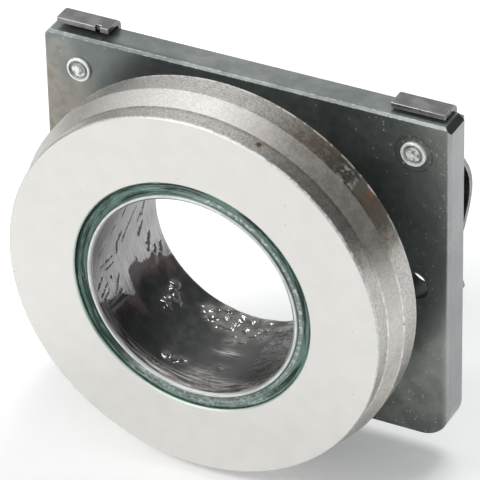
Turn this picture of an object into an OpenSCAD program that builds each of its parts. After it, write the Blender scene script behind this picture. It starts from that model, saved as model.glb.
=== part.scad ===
// Clutch release bearing on a rectangular carrier plate, in millimetres.
// The bearing axis runs along Y and the thrust face looks toward -Y, with +Z up.
// The origin lies on the bearing axis, in the plane of the plate's front face.

/* [Carrier plate] */
// Width of the plate
plate_w = 73.2; // [72.6:0.2:80]
// Height of the plate
plate_h = 60.6; // [58:0.2:68]
// Thickness of the plate
plate_t = 5.2; // [4:0.1:7]
// Radius of the two lower corners
corner_r = 5; // [2:0.5:6]
// Bevel of the two upper corners
corner_cut = 1; // [0.6:0.1:2.4]
// Radius along the front of the plate's two sides
side_r = 0.6; // [0.4:0.1:2]
// Bevel along the front of the top edge
top_bevel = 0.4; // [0.2:0.1:1]

/* [Hub] */
// Diameter of the guide bore
bore_d = 36.6; // [35:0.1:37.4]
// Wall of the hub sleeve
sleeve_wall = 1.3; // [1.2:0.1:1.8]
// Depth of the lead-in bevel at the rear of the bore
lead_in = 2.5; // [1:0.1:3.5]
// Bevel on both edges of the sleeve's front end
sleeve_bevel = 0.3; // [0.1:0.05:0.4]
// How far the shoulder behind the inner race stays below the race's edge
shoulder_step = 0.7; // [0.3:0.1:2]
// Bevelled root between shoulder and plate
shoulder_root = 1.5; // [0.5:0.1:3]
// Distance from the plate's front to the thrust face
face_l = 20.2; // [18:0.1:24]
// Depth of the sleeve's end below the thrust face
sleeve_recess = 0.15; // [0:0.05:0.4]

/* [Fork side] */
// Distance of the rivets and pin holes from the plate's nearest side
side_inset = 6.45; // [6:0.05:7.5]
// Distance of the rivets below the plate's top edge
rivet_drop = 6.2; // [5:0.1:7]
// Diameter of the rivet shank
rivet_d = 3.9; // [3:0.1:4.4]
// Diameter of the rivet head behind the spring
rivet_head_d = 4.8; // [4.4:0.1:5.4]
// Height of the rivet head
rivet_head_h = 1.3; // [0.8:0.1:2]
// How far the staked rivet end stands in front of the plate
stake_h = 0.45; // [0.2:0.05:0.6]
// Diameter of the staked rivet end
stake_d = 4.4; // [4.2:0.1:5.2]
// Diameter of the pin holes that locate the fork
pin_hole_d = 5.1; // [4.5:0.1:6.5]
// Drop of the pin holes below the bearing axis
pin_hole_drop = 1.2; // [0:0.1:2]

/* [Fork springs] */
// Thickness of the spring strip
spring_t = 0.9; // [0.5:0.05:1]
// Distance of the leaf's edge from the plate's side
leaf_margin = 0.45; // [0.2:0.05:1.5]
// Width of the tab that hooks over the top edge
tab_w = 9.5; // [6:0.1:10]
// Distance of the tab's end from the plate's front
tab_setback = 1.6; // [1:0.1:3]
// Drop of the leaf's top below the plate's top, beside the tab
leaf_drop = 0.8; // [0.6:0.1:1.5]
// Gap under the left tab
gap_left = 0.8; // [0.5:0.05:1]
// Gap under the right tab
gap_right = 0.4; // [0.3:0.05:0.6]
// Height of the bow behind the plate
bow_h = 3.5; // [2.5:0.1:5]
// Flat strip between the rivet's head and the bow
bow_gap = 0.1; // [0:0.05:0.5]
// Length of the bow along the plate
bow_l = 14; // [12:0.5:15]
// How far the leaf reaches below the pin hole's centre
leaf_reach = 2.8; // [2.6:0.1:5]
// Length of the lip at the leaf's lower end
lip_l = 2.2; // [1.5:0.1:2.5]
// How far the lip turns away from the plate
lip_h = 1; // [0.4:0.1:1.2]
// Slot in the leaf's lower end, wider than the pin hole by this much
slot_margin = 2; // [1:0.1:2.6]
// Width of the nick in the left tab's edge
nick_w = 0.9; // [0.5:0.1:2]
// Depth of the nick
nick_d = 0.7; // [0.3:0.1:1]

/* [Thrust ring] */
// Diameter of the ring behind the flare
ring_d = 69.8; // [64:0.1:76]
// How much the flare widens the ring, on the radius
flare_h = 1.5; // [0.5:0.1:2.5]
// Length of the nose that carries the thrust face
nose_l = 3.6; // [2.5:0.1:4.5]
// Length of the conical flare behind the nose
flare_l = 3.1; // [2:0.1:4]
// Length of the whole ring
ring_l = 11.4; // [11.2:0.1:13]
// Bevel of the ring's outer edges
ring_bevel = 0.25; // [0.1:0.05:0.5]
// Thickness of the flange behind the thrust face
flange_t = 2.2; // [1.6:0.1:2.6]
// Width of the sealed gap between sleeve and thrust ring
seal_w = 1.7; // [1.2:0.1:2.2]
// How far the sleeve is turned down under the seal
seal_seat = 0.4; // [0.2:0.05:0.45]
// Running gap around the seal
seal_gap = 0.1; // [0.05:0.05:0.3]
// Depth of the seal below the thrust face
seal_recess = 0.5; // [0.3:0.1:0.8]
// How much deeper the seal lies at its outer edge
seal_slope = 0.2; // [0.1:0.05:0.5]

/* [Ball set] */
// Diameter of the balls
ball_d = 6.35; // [6:0.05:6.5]
// How far the ball circle lies inside the middle between sleeve and ring
pitch_shift = 0.25; // [0:0.05:0.5]
// Distance of the ball centres behind the thrust face
ball_depth = 6.5; // [6.3:0.1:6.7]
// Play between a ball and its grooves
ball_play = 0.04; // [0.02:0.01:0.08]
// Play between a ball and its cage pocket
pocket_play = 0.1; // [0.05:0.01:0.15]
// Thickness of the rear shield
shield_t = 0.6; // [0.4:0.05:0.7]
// Running gap around the rear shield
shield_gap = 0.3; // [0.2:0.05:0.4]
// Depth of the shield's face inside the ring's rear end
shield_recess = 0.2; // [0.1:0.05:0.3]
// Width of the shield's rim
shield_rim = 0.8; // [0.6:0.1:1.2]
// Gap between the flange and the inner race
race_gap = 0.3; // [0.2:0.05:0.5]
// Gap between the cage and the shield
cage_gap = 0.3; // [0.2:0.05:0.4]
// Wall of the cage
cage_wall = 2.2; // [1.8:0.1:2.4]

/* [Hidden] */
ball_count = 14;
ball_nodes = [for (i = [1 : ball_count]) str("ball_", i < 10 ? "0" : "", i)];
fixed_nodes = ["carrier", "fork_spring_left", "fork_spring_right", "rivets", "inner_race",
               "front_seal", "thrust_ring", "rear_shield", "ball_cage"];

$fn = 96;
// Radii round the bearing axis
bore_r = bore_d / 2;
sleeve_r = bore_r + sleeve_wall;
face_hole_r = sleeve_r + seal_w;
seal_r = face_hole_r - seal_gap;
seal_seat_r = sleeve_r - seal_seat;
ring_r = ring_d / 2;
nose_r = ring_r - flare_h;
pitch_r = (sleeve_r + ring_r) / 2 - pitch_shift;
ball_r = ball_d / 2;
groove_r = ball_r + ball_play;
// Race lands: a low shoulder where the ball goes in, a high one where it is loaded
low_land = 0.5;
high_land = 1.4;
inner_high_r = pitch_r - groove_r + high_land;
inner_low_r = pitch_r - groove_r + low_land;
outer_high_r = pitch_r + groove_r - high_land;
outer_low_r = pitch_r + groove_r - low_land;
shoulder_r = inner_high_r - shoulder_step;
// Places along the bearing axis
face_y = -face_l;
sleeve_y = face_y + sleeve_recess;
seal_back_y = face_y + flange_t;
ball_y = face_y + ball_depth;
ring_back_y = face_y + ring_l;
shoulder_y = ring_back_y - shield_t / 2;
race_front_y = seal_back_y + race_gap;
// Rear shield in its seat
shield_seat_r = (outer_low_r + ring_r) / 2;
shield_front_y = ring_back_y - shield_t - shield_recess;
// Cage between the lands
cage_front_y = ball_y - ball_r * 0.4;
cage_back_y = shield_front_y - cage_gap;
// Plate and spring heights
plate_top = plate_h / 2;
side_x = plate_w / 2 - side_inset;
rivet_z = plate_top - rivet_drop;
leaf_y = plate_t;
leaf_w = 2 * (side_inset - leaf_margin);
leaf_end = -pin_hole_drop - leaf_reach;
leaf_top = plate_top - leaf_drop;
bow_bend = spring_t * tan(atan(bow_h * PI / bow_l) / 2);
bow_top = rivet_z - rivet_head_d / 2 - bow_bend - bow_gap;

// Turns a radius and axial-place outline round the bearing axis
module turned() {
    rotate([-90, 0, 0]) rotate_extrude() children();
}

// Round bar along Y from one place to another
module bar_y(d, from, to) {
    translate([0, from, 0]) rotate([-90, 0, 0]) cylinder(d = d, h = to - from);
}

// Puts a copy on the left and on the right
module both_sides() {
    for (s = [-1, 1]) translate([s * side_x, 0, 0]) children();
}

// Plate seen from above: the front corners are rounded
module plate_plan() {
    half = plate_w / 2;
    translate([-half, side_r]) square([plate_w, plate_t - side_r]);
    translate([side_r - half, 0]) square([plate_w - 2 * side_r, plate_t]);
    for (s = [-1, 1]) translate([s * (half - side_r), side_r]) circle(side_r);
}

// Plate seen from the front: round lower corners and bevelled upper ones
module plate_front() {
    half = plate_w / 2;
    low = corner_r - plate_top;
    polygon([
        [-half, low], [half, low], [half, plate_top - corner_cut], [half - corner_cut, plate_top],
        [corner_cut - half, plate_top], [-half, plate_top - corner_cut]
    ]);
    translate([corner_r - half, -plate_top]) square([plate_w - 2 * corner_r, corner_r]);
    for (s = [-1, 1]) translate([s * (half - corner_r), low]) circle(corner_r);
}

module plate() {
    difference() {
        intersection() {
            translate([0, 0, -plate_top]) linear_extrude(plate_h) plate_plan();
            translate([0, plate_t, 0]) rotate([90, 0, 0]) linear_extrude(plate_t) plate_front();
        }
        translate([0, 0, plate_top])
            rotate([45, 0, 0])
                cube([plate_w + 1, top_bevel * sqrt(2), top_bevel * sqrt(2)], center = true);
    }
}

// Section of the hub: sleeve with the seal's seat, shoulder and a bevelled root in the plate
module hub_section() {
    polygon([
        [bore_r, sleeve_y + sleeve_bevel], [bore_r + sleeve_bevel, sleeve_y],
        [seal_seat_r - sleeve_bevel, sleeve_y], [seal_seat_r, sleeve_y + sleeve_bevel],
        [seal_seat_r, seal_back_y], [sleeve_r, seal_back_y],
        [sleeve_r, shoulder_y], [shoulder_r, shoulder_y],
        [shoulder_r, -shoulder_root], [shoulder_r + shoulder_root, 0],
        [shoulder_r + shoulder_root, plate_t / 2], [bore_r, plate_t / 2]
    ]);
}

// Plate and hub, cast and machined as one piece
module carrier() {
    color([0.22, 0.24, 0.23])
    difference() {
        union() {
            difference() {
                plate();
                bar_y(bore_d, -1, plate_t + 1);
            }
            turned() hub_section();
        }
        turned() polygon([
            [0, plate_t - lead_in], [bore_r, plate_t - lead_in],
            [bore_r + lead_in, plate_t], [bore_r + lead_in, plate_t + 1], [0, plate_t + 1]
        ]);
        both_sides() {
            translate([0, 0, rivet_z]) bar_y(rivet_d, -1, plate_t + 1);
            translate([0, 0, -pin_hole_drop]) bar_y(pin_hole_d, -1, plate_t + 1);
        }
    }
}

// Place of the bow's inner side behind the plate at a height z
function bow(z) = bow_h * sin(180 * (bow_top - z) / bow_l);
// Lean of the bow at a height z
function bow_slope(z) = atan(bow_h * PI / bow_l * cos(180 * (bow_top - z) / bow_l));

// Side view of the leaf: flat under the rivet, bowed, flat again, and a lip at the end
module leaf_section() {
    steps = 28;
    heights = [for (i = [0 : steps]) bow_top - bow_l * i / steps];
    inner = [for (z = heights) [leaf_y + bow(z), z]];
    outer = [
        for (i = [1 : steps - 1])
            let (z = heights[i], lean = bow_slope(z))
                [leaf_y + bow(z) + spring_t * cos(lean), z + spring_t * sin(lean)]
    ];
    back_y = leaf_y + spring_t;
    polygon(concat(
        [[leaf_y, leaf_top]], inner,
        [[leaf_y, leaf_end + lip_l], [leaf_y + lip_h, leaf_end], [back_y + lip_h, leaf_end],
         [back_y, leaf_end + lip_l], [back_y, bow_top - bow_l - bow_bend]],
        [for (i = [steps - 2 : -1 : 0]) outer[i]],
        [[back_y, bow_top + bow_bend], [back_y, leaf_top]]
    ));
}

// Side view of the hook: up behind the plate, round, and forward over the top edge
module hook_section(gap) {
    translate([leaf_y, leaf_top - 1]) square([spring_t, leaf_drop + 1.001]);
    intersection() {
        translate([leaf_y - gap, plate_top]) difference() {
            circle(gap + spring_t);
            circle(gap);
        }
        translate([leaf_y - gap, plate_top]) square(gap + spring_t);
    }
    translate([tab_setback, plate_top + gap]) square([leaf_y - gap - tab_setback, spring_t]);
}

// Draws a side view across a width
module strip(w) {
    translate([-w / 2, 0, 0]) rotate([90, 0, 90]) linear_extrude(w) children();
}

// One fork spring, centred on its rivet column
module fork_spring(gap) {
    slot_w = pin_hole_d + slot_margin;
    difference() {
        union() {
            strip(tab_w) hook_section(gap);
            strip(leaf_w) leaf_section();
        }
        translate([0, 0, rivet_z]) bar_y(rivet_d, leaf_y - 1, leaf_y + spring_t + 1);
        translate([0, 0, -pin_hole_drop]) bar_y(slot_w, leaf_y - 1, leaf_y + 3);
        translate([-slot_w / 2, leaf_y - 1, leaf_end - 5]) cube([slot_w, 4, 5 - leaf_end - pin_hole_drop]);
    }
}

// Left spring, with a nick in the front edge of its tab
module fork_spring_left() {
    color([0.30, 0.31, 0.32])
    translate([-side_x, 0, 0])
    difference() {
        fork_spring(gap_left);
        translate([tab_w * 0.25, tab_setback - 1, plate_top]) cube([nick_w, 1 + nick_d, gap_left + 2]);
    }
}

module fork_spring_right() {
    color([0.30, 0.31, 0.32])
    translate([side_x, 0, 0]) fork_spring(gap_right);
}

// Section of a rivet: spread rim and dished end in front, shank, domed head behind
module rivet_section() {
    r = rivet_d / 2;
    end_r = stake_d / 2;
    rim = end_r * 0.8;
    nub = end_r * 0.6;
    back = plate_t + spring_t;
    head_r = rivet_head_d / 2;
    dome_r = (head_r * head_r + rivet_head_h * rivet_head_h) / (2 * rivet_head_h);
    polygon([
        [0, -stake_h * 0.8], [nub, -stake_h * 0.65], [nub, -stake_h * 0.15], [rim, -stake_h * 0.15],
        [rim, -stake_h], [end_r * 0.94, -stake_h], [end_r, -stake_h * 0.6], [end_r, 0],
        [r, 0], [r, back + 0.2], [0, back + 0.2]
    ]);
    intersection() {
        translate([0, back + rivet_head_h - dome_r]) circle(dome_r);
        translate([0, back]) square([head_r, rivet_head_h]);
    }
}

module rivets() {
    color([0.80, 0.81, 0.80])
    both_sides() translate([0, 0, rivet_z]) turned() rivet_section();
}

// Inner race on the sleeve, its high shoulder behind the balls
module inner_race() {
    color([0.70, 0.70, 0.70])
    turned() difference() {
        polygon([
            [sleeve_r, race_front_y], [inner_low_r, race_front_y], [inner_low_r, ball_y],
            [inner_high_r, ball_y], [inner_high_r, shoulder_y], [sleeve_r, shoulder_y]
        ]);
        translate([pitch_r, ball_y]) circle(groove_r);
    }
}

// Green seal on its seat, its front sloped toward the thrust ring
module front_seal() {
    color([0.16, 0.38, 0.32])
    turned() polygon([
        [seal_seat_r, face_y + seal_recess], [seal_r, face_y + seal_recess + seal_slope],
        [seal_r, seal_back_y], [seal_seat_r, seal_back_y]
    ]);
}

// Turning ring: thrust face, nose, flare, outer raceway and the shield's seat
module thrust_ring() {
    flange_y = face_y + flange_t;
    flare_y = face_y + nose_l;
    color([0.86, 0.86, 0.84])
    turned() difference() {
        polygon([
            [face_hole_r + ring_bevel, face_y], [nose_r - ring_bevel, face_y],
            [nose_r, face_y + ring_bevel], [nose_r, flare_y], [ring_r, flare_y + flare_l],
            [ring_r, ring_back_y - ring_bevel], [ring_r - ring_bevel, ring_back_y],
            [shield_seat_r, ring_back_y], [shield_seat_r, shield_front_y],
            [outer_low_r, shield_front_y], [outer_low_r, ball_y], [outer_high_r, ball_y],
            [outer_high_r, flange_y], [face_hole_r, flange_y], [face_hole_r, face_y + ring_bevel]
        ]);
        translate([pitch_r, ball_y]) circle(groove_r);
    }
}

// Pressed shield in the ring's rear seat, with a rim round its outside
module rear_shield() {
    shield_in_r = inner_high_r + shield_gap;
    rim_r = shield_seat_r - shield_rim;
    shield_back_y = shield_front_y + shield_t;
    color([0.50, 0.50, 0.50])
    turned() polygon([
        [shield_in_r, shield_front_y], [shield_seat_r, shield_front_y], [shield_seat_r, ring_back_y],
        [rim_r, ring_back_y], [rim_r, shield_back_y], [shield_in_r, shield_back_y]
    ]);
}

// Angle of one ball round the bearing axis
function ball_angle(i) = 360 * (i - 1) / ball_count;

// Turns a child at [0, 0, radius] to one ball's place
module at_ball(i) {
    rotate([0, ball_angle(i), 0]) translate([0, ball_y, pitch_r]) children();
}

// Snap cage: a ring behind the balls with fingers between them
module ball_cage() {
    color([0.75, 0.71, 0.60])
    difference() {
        turned() translate([pitch_r - cage_wall / 2, cage_front_y])
            square([cage_wall, cage_back_y - cage_front_y]);
        for (i = [1 : ball_count])
            at_ball(i) cylinder(r = ball_r + pocket_play, h = cage_wall * 2, center = true);
    }
}

module ball(i) {
    color([0.80, 0.80, 0.82])
    at_ball(i) sphere(ball_r);
}

carrier();
fork_spring_left();
fork_spring_right();
rivets();
inner_race();
front_seal();
thrust_ring();
rear_shield();
ball_cage();
for (i = [1 : ball_count]) ball(i);
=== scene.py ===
# %% [markdown]
# # A used clutch release bearing
# The solids come from the part's CAD model. This lesson gives them their finish: ground steel,
# black oxide, zinc, green seal and wet grease. It starts by loading the solids as a fixed frame.

# %% Load the solids
import math

import bpy
from mathutils import Matrix, Vector


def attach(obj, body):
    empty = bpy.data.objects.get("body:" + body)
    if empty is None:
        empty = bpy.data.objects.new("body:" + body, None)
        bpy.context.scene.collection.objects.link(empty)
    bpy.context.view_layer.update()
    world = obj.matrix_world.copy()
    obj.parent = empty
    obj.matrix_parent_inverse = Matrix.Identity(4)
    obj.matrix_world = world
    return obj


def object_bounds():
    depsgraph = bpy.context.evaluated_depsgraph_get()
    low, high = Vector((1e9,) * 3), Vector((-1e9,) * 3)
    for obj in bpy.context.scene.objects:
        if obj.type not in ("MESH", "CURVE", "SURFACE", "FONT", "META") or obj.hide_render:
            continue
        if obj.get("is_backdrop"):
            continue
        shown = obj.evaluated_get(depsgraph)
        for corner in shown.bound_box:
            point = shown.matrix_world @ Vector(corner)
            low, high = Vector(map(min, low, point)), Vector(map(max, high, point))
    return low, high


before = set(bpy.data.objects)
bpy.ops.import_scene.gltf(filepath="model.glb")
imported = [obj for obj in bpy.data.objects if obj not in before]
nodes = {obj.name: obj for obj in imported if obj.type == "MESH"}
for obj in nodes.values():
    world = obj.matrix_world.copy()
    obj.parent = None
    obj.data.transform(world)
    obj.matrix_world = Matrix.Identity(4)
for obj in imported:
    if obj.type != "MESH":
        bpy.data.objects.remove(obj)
cad_low, cad_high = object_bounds()
bpy.ops.object.select_all(action="DESELECT")
print("solids:", len(nodes), "box mm:", [round(1000 * c, 1) for c in cad_high - cad_low])

# %% [markdown]
# ## Places on the part
# The bearing axis is Y, the thrust face looks toward -Y and Z is up. The finishes below tell the ring's
# bands, the rivets and the pin holes apart by these places, which are in millimetres.

# %% Places on the part
mm = 0.001
face_y = cad_low.y / mm
plate_right = cad_high.x / mm
nose_back, cone_back = -16.6, -13.5
rivet_x, rivet_z = 30.15, 24.1
pin_x, pin_z = 30.15, -1.2
soft = 0.1
print("thrust face at mm:", round(face_y, 2), "plate's right side at mm:", round(plate_right, 2))

# %% [markdown]
# ## The camera
# The part was seen from its right, from above, through a long lens, so its far edges hardly shrink.
# The camera is turned by three of its own axes, which also gives the photograph's small roll.

# %% Place the camera
turn, lift, roll = math.radians(27.472), math.radians(34.079), math.radians(-1.336)
lens_mm, sensor_mm = 337.5, 36
camera_distance, aim_right, aim_up = 0.7389, -0.00111, -0.000832
back = Vector((math.sin(turn) * math.cos(lift), -math.cos(turn) * math.cos(lift), math.sin(lift)))
level = Vector((math.cos(turn), math.sin(turn), 0))
above = back.cross(level)
right = level * math.cos(roll) + above * math.sin(roll)
up = above * math.cos(roll) - level * math.sin(roll)
aim = level * aim_right + above * aim_up
bpy.ops.object.camera_add()
camera = bpy.context.object
camera.data.lens = lens_mm
camera.data.sensor_width = sensor_mm
camera.data.clip_start = 0.01
axes = Matrix((right, up, back)).transposed().to_4x4()
camera.matrix_world = Matrix.Translation(aim + back * camera_distance) @ axes
bpy.context.scene.camera = camera
print("camera at mm:", [round(1000 * c, 1) for c in camera.location])

# %% [markdown]
# ## Helpers for materials
# Every finish is a small tree of nodes. These helpers place a node with its values, or with links where
# a value comes from another node, so that each tree below reads as a list of steps.

# %% Helpers that place nodes
def give(tree, socket, value):
    """Links a socket to another node's answer, or sets it to a constant."""
    if isinstance(value, bpy.types.NodeSocket):
        tree.links.new(value, socket)
    else:
        socket.default_value = value


def place(tree, kind, values=None, **settings):
    """One node in the tree, with its sockets set or linked."""
    made = tree.nodes.new(kind)
    for name, value in settings.items():
        setattr(made, name, value)
    for socket, value in (values or {}).items():
        give(tree, made.inputs[socket], value)
    return made


def here_on(tree):
    """The place on the part, as one vector."""
    return place(tree, "ShaderNodeTexCoord").outputs["Object"]


def calc(tree, kind, first, second=0.0, clamp=False):
    """A Math node's answer."""
    return place(tree, "ShaderNodeMath", {0: first, 1: second}, operation=kind, use_clamp=clamp).outputs[0]


def chain(tree, kind, values):
    """One kind of Math node over a whole row of values."""
    answer = values[0]
    for value in values[1:]:
        answer = calc(tree, kind, answer, value)
    return answer


def times(tree, *values):
    """All the values multiplied."""
    return chain(tree, "MULTIPLY", values)


def plus(tree, *values):
    """All the values added."""
    return chain(tree, "ADD", values)


def most(tree, *values):
    """The largest of the values."""
    return chain(tree, "MAXIMUM", values)


def less(tree, first, second):
    """The first value less the second."""
    return calc(tree, "SUBTRACT", first, second)


def rest(tree, share):
    """What a share leaves of one."""
    return less(tree, 1.0, share)


def vector(tree, kind, first, second=None):
    """A Vector Math node, with a vector as output 0 and a number as output 1."""
    values = {0: first} if second is None else {0: first, 1: second}
    return place(tree, "ShaderNodeVectorMath", values, operation=kind).outputs


print("math helpers ready")

# %% [markdown]
# ## Helpers for masks and mixes
# A mask is a share between nought and one. Most masks here fade in over a short way, so the helpers stretch
# a value from one range to another with soft ends, and mix two colours by the share that comes out.

# %% Helpers for masks and mixes
def ranged(tree, value, low, high, start=0.0, end=1.0):
    """A value stretched from one range to another, with soft ends."""
    values = {0: value, 1: low, 2: high, 3: start, 4: end}
    return place(tree, "ShaderNodeMapRange", values, interpolation_type="SMOOTHSTEP").outputs[0]


def fade(tree, share, start, end):
    """A share stretched to run from start to end."""
    return ranged(tree, share, 0.0, 1.0, start, end)


def between(tree, where, low, high, start=0.0, end=1.0):
    """A fade over a way on the part that is given in millimetres."""
    return ranged(tree, where, low * mm, high * mm, start, end)


def mixed(tree, share, first, second, blend="MIX"):
    """Two colours mixed by a share."""
    values = {0: share, 6: first, 7: second}
    return place(tree, "ShaderNodeMix", values, data_type="RGBA", blend_type=blend).outputs[2]


def axis_distance(tree, x, z):
    """Distance from an axis along Y."""
    flat = place(tree, "ShaderNodeCombineXYZ", {0: x, 2: z}).outputs[0]
    return vector(tree, "LENGTH", flat)[1]


def new_group(name, inputs, output):
    """An empty shader node group with float or vector inputs and one float output."""
    tree = bpy.data.node_groups.new(name, "ShaderNodeTree")
    for label, value in inputs.items():
        kind = "NodeSocketVector" if isinstance(value, tuple) else "NodeSocketFloat"
        socket = tree.interface.new_socket(label, in_out="INPUT", socket_type=kind)
        socket.default_value = value
    tree.interface.new_socket(output, in_out="OUTPUT", socket_type="NodeSocketFloat")
    return tree, tree.nodes.new("NodeGroupInput").outputs, tree.nodes.new("NodeGroupOutput").inputs[output]


def use(tree, group, **values):
    """A group placed in a material with this finish's own values."""
    return place(tree, "ShaderNodeGroup", values, node_tree=group).outputs[0]


print("mask helpers ready")

# %% [markdown]
# ## Streaks round the axis
# Turning, grinding and a wiping hand all leave marks that run round the bearing's axis, which is Y.
# A four-dimensional noise reads the direction from the axis and, as its fourth axis, the radius less the
# depth. It has no seam, and works on the flat face and on the cylinders alike.

# %% Group: streaks round the axis
inputs = {"Around": 6.0, "Across": 3000.0, "Detail": 2.0}
axis_streaks, given, result = new_group("axis_streaks", inputs, "Value")
tree = axis_streaks
x, y, z = place(tree, "ShaderNodeSeparateXYZ", {0: here_on(tree)}).outputs
flat = place(tree, "ShaderNodeCombineXYZ", {0: x, 2: z}).outputs[0]
toward = vector(tree, "NORMALIZE", flat)[0]
depth = times(tree, less(tree, axis_distance(tree, x, z), y), given["Across"])
values = {"Vector": toward, "W": depth, "Scale": given["Around"], "Detail": given["Detail"]}
noise = place(tree, "ShaderNodeTexNoise", values, noise_dimensions="4D").outputs[0]
tree.links.new(noise, result)
print("group:", tree.name)

# %% [markdown]
# ## Cloudy variation, specks and patches
# No finish is even. The first group is a cloudy value for tints and roughness. The second scatters small
# round specks, each lit or left by chance. The third is one ragged patch at a place on the part, for a
# stain, a rust dot or a smear.

# %% Groups: clouds, specks and a patch
def noise_on(tree, scale, detail):
    """Plain noise over the part."""
    values = {"Vector": here_on(tree), "Scale": scale, "Detail": detail}
    return place(tree, "ShaderNodeTexNoise", values).outputs[0]


inputs = {"Scale": 200.0, "Detail": 4.0, "Low": 0.35, "High": 0.65}
clouds, given, result = new_group("clouds", inputs, "Value")
noise = noise_on(clouds, given["Scale"], given["Detail"])
clouds.links.new(ranged(clouds, noise, given["Low"], given["High"]), result)

specks, given, result = new_group("specks", {"Scale": 900.0, "Size": 0.25, "Share": 0.2}, "Mask")
tree = specks
cells = place(tree, "ShaderNodeTexVoronoi", {"Vector": here_on(tree), "Scale": given["Scale"]}).outputs
chance = place(tree, "ShaderNodeSeparateColor", {0: cells["Color"]}).outputs
size = times(tree, given["Size"], plus(tree, chance[1], 0.3))
dot = ranged(tree, cells["Distance"], size, times(tree, size, 0.5))
tree.links.new(times(tree, dot, calc(tree, "LESS_THAN", chance[0], given["Share"])), result)

inputs = {"Centre": (0.0, 0.0, 0.0), "Radius": 0.002, "Ragged": 0.5, "Grain": 600.0}
patch, given, result = new_group("patch", inputs, "Mask")
tree = patch
away = vector(tree, "DISTANCE", here_on(tree), given["Centre"])[1]
wander = times(tree, less(tree, noise_on(tree, given["Grain"], 3.0), 0.5), given["Ragged"], 2.0)
reach = plus(tree, calc(tree, "DIVIDE", away, given["Radius"]), wander)
tree.links.new(ranged(tree, reach, 1.0, 0.45), result)
print("groups:", clouds.name, specks.name, patch.name)

# %% [markdown]
# ## Worn edges
# A dark finish rubs off first where an edge stands out. The Bevel node rounds the normal near an edge, so
# the angle between that normal and the true one marks the edge. Noise breaks the line up.

# %% Group: worn edges
worn_edges, given, result = new_group("worn_edges", {"Width": 0.0003, "Grain": 700.0, "Bare": 0.5}, "Mask")
tree = worn_edges
rounded = place(tree, "ShaderNodeBevel", {"Radius": given["Width"]}, samples=6).outputs[0]
true = place(tree, "ShaderNodeNewGeometry").outputs["Normal"]
edge = ranged(tree, vector(tree, "DOT_PRODUCT", rounded, true)[1], 0.985, 0.88)
limit = rest(tree, given["Bare"])
noise = noise_on(tree, given["Grain"], 4.0)
rubbed = ranged(tree, noise, less(tree, limit, 0.12), plus(tree, limit, 0.12))
tree.links.new(times(tree, edge, rubbed), result)
print("group:", tree.name)

# %% [markdown]
# ## A finish, and how it goes on a solid
# Each finish is one material with a Principled shader. One helper makes it and reads the place on the part
# once, others add a patch or a relief, and the last puts the finish on every solid that wears it.

# %% Helpers for a finish
def new_finish(name):
    """A material, its tree, its shader, and the place on the part split in three."""
    made = bpy.data.materials.new(name)
    made.use_nodes = True
    tree = made.node_tree
    spot = place(tree, "ShaderNodeSeparateXYZ", {0: here_on(tree)}).outputs
    return made, tree, tree.nodes["Principled BSDF"], spot


def blot(tree, centre, radius, ragged, grain):
    """A ragged patch, with its centre and radius in millimetres."""
    centre = tuple(c * mm for c in centre)
    return use(tree, patch, Centre=centre, Radius=radius * mm, Ragged=ragged, Grain=grain)


def relief(tree, height, depth, strength=0.5, soft_edge=0.0):
    """A Bump normal, depth in millimetres, over edges that are rounded when soft_edge is given."""
    values = {"Height": height, "Distance": depth * mm, "Strength": strength}
    if soft_edge:
        values["Normal"] = place(tree, "ShaderNodeBevel", {"Radius": soft_edge * mm}, samples=6).outputs[0]
    return place(tree, "ShaderNodeBump", values).outputs[0]


def wire(tree, shader, **sockets):
    """Links or sets the shader's sockets by their names, written with underscores."""
    for name, value in sockets.items():
        give(tree, shader.inputs[name.replace("_", " ")], value)


def wear(finish, *names):
    """The finish goes on these solids."""
    for name in names:
        nodes[name].data.materials.clear()
        nodes[name].data.materials.append(finish)
    print(finish.name, "on", len(names), "solids")


print("finish helpers ready")

# %% [markdown]
# ## Ground and turned steel of the thrust ring
# The flat face is finely ground and pale. Behind it the narrow nose and the wide band are duller, turned
# surfaces, and the cone between them has a quieter grain. The bands are told apart by their depth, which
# is the place's Y.

# %% Ring: bands and tones
face_dark = (0.662, 0.651, 0.624, 1)
face_light = (0.700, 0.689, 0.663, 1)
even_grain = (0.5, 0.5, 0.5, 1)
side_dark = (0.41, 0.396, 0.373, 1)
side_light = (0.64, 0.624, 0.597, 1)
steel, tree, shader, (x, y, z) = new_finish("ground_steel")
out = axis_distance(tree, x, z)
on_face = calc(tree, "LESS_THAN", y, (face_y + 0.08) * mm)
past_nose = between(tree, y, nose_back - soft, nose_back + soft)
on_band = between(tree, y, cone_back - soft, cone_back + soft)
on_cone = times(tree, past_nose, between(tree, y, cone_back + soft, cone_back - soft))
haze = use(tree, clouds, Scale=260.0, Low=0.3, High=0.7)
grain = use(tree, clouds, Scale=2600.0, Detail=3.0, Low=0.3, High=0.7)
dirt_and_light_breakup = use(tree, clouds, Scale=800.0, Detail=6.0, Low=0.40, High=0.62)
scuffs = use(tree, clouds, Scale=900.0, Detail=5.0, Low=0.44, High=0.60)
marks = use(tree, axis_streaks, Around=3.0, Across=1500.0)
face_tone = mixed(tree, haze, face_dark, face_light)
side_grain = mixed(tree, times(tree, on_cone, 0.55), grain, even_grain)
side_tone = mixed(tree, side_grain, side_dark, side_light)
print("ring bands: face, nose, cone and rear band")
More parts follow.
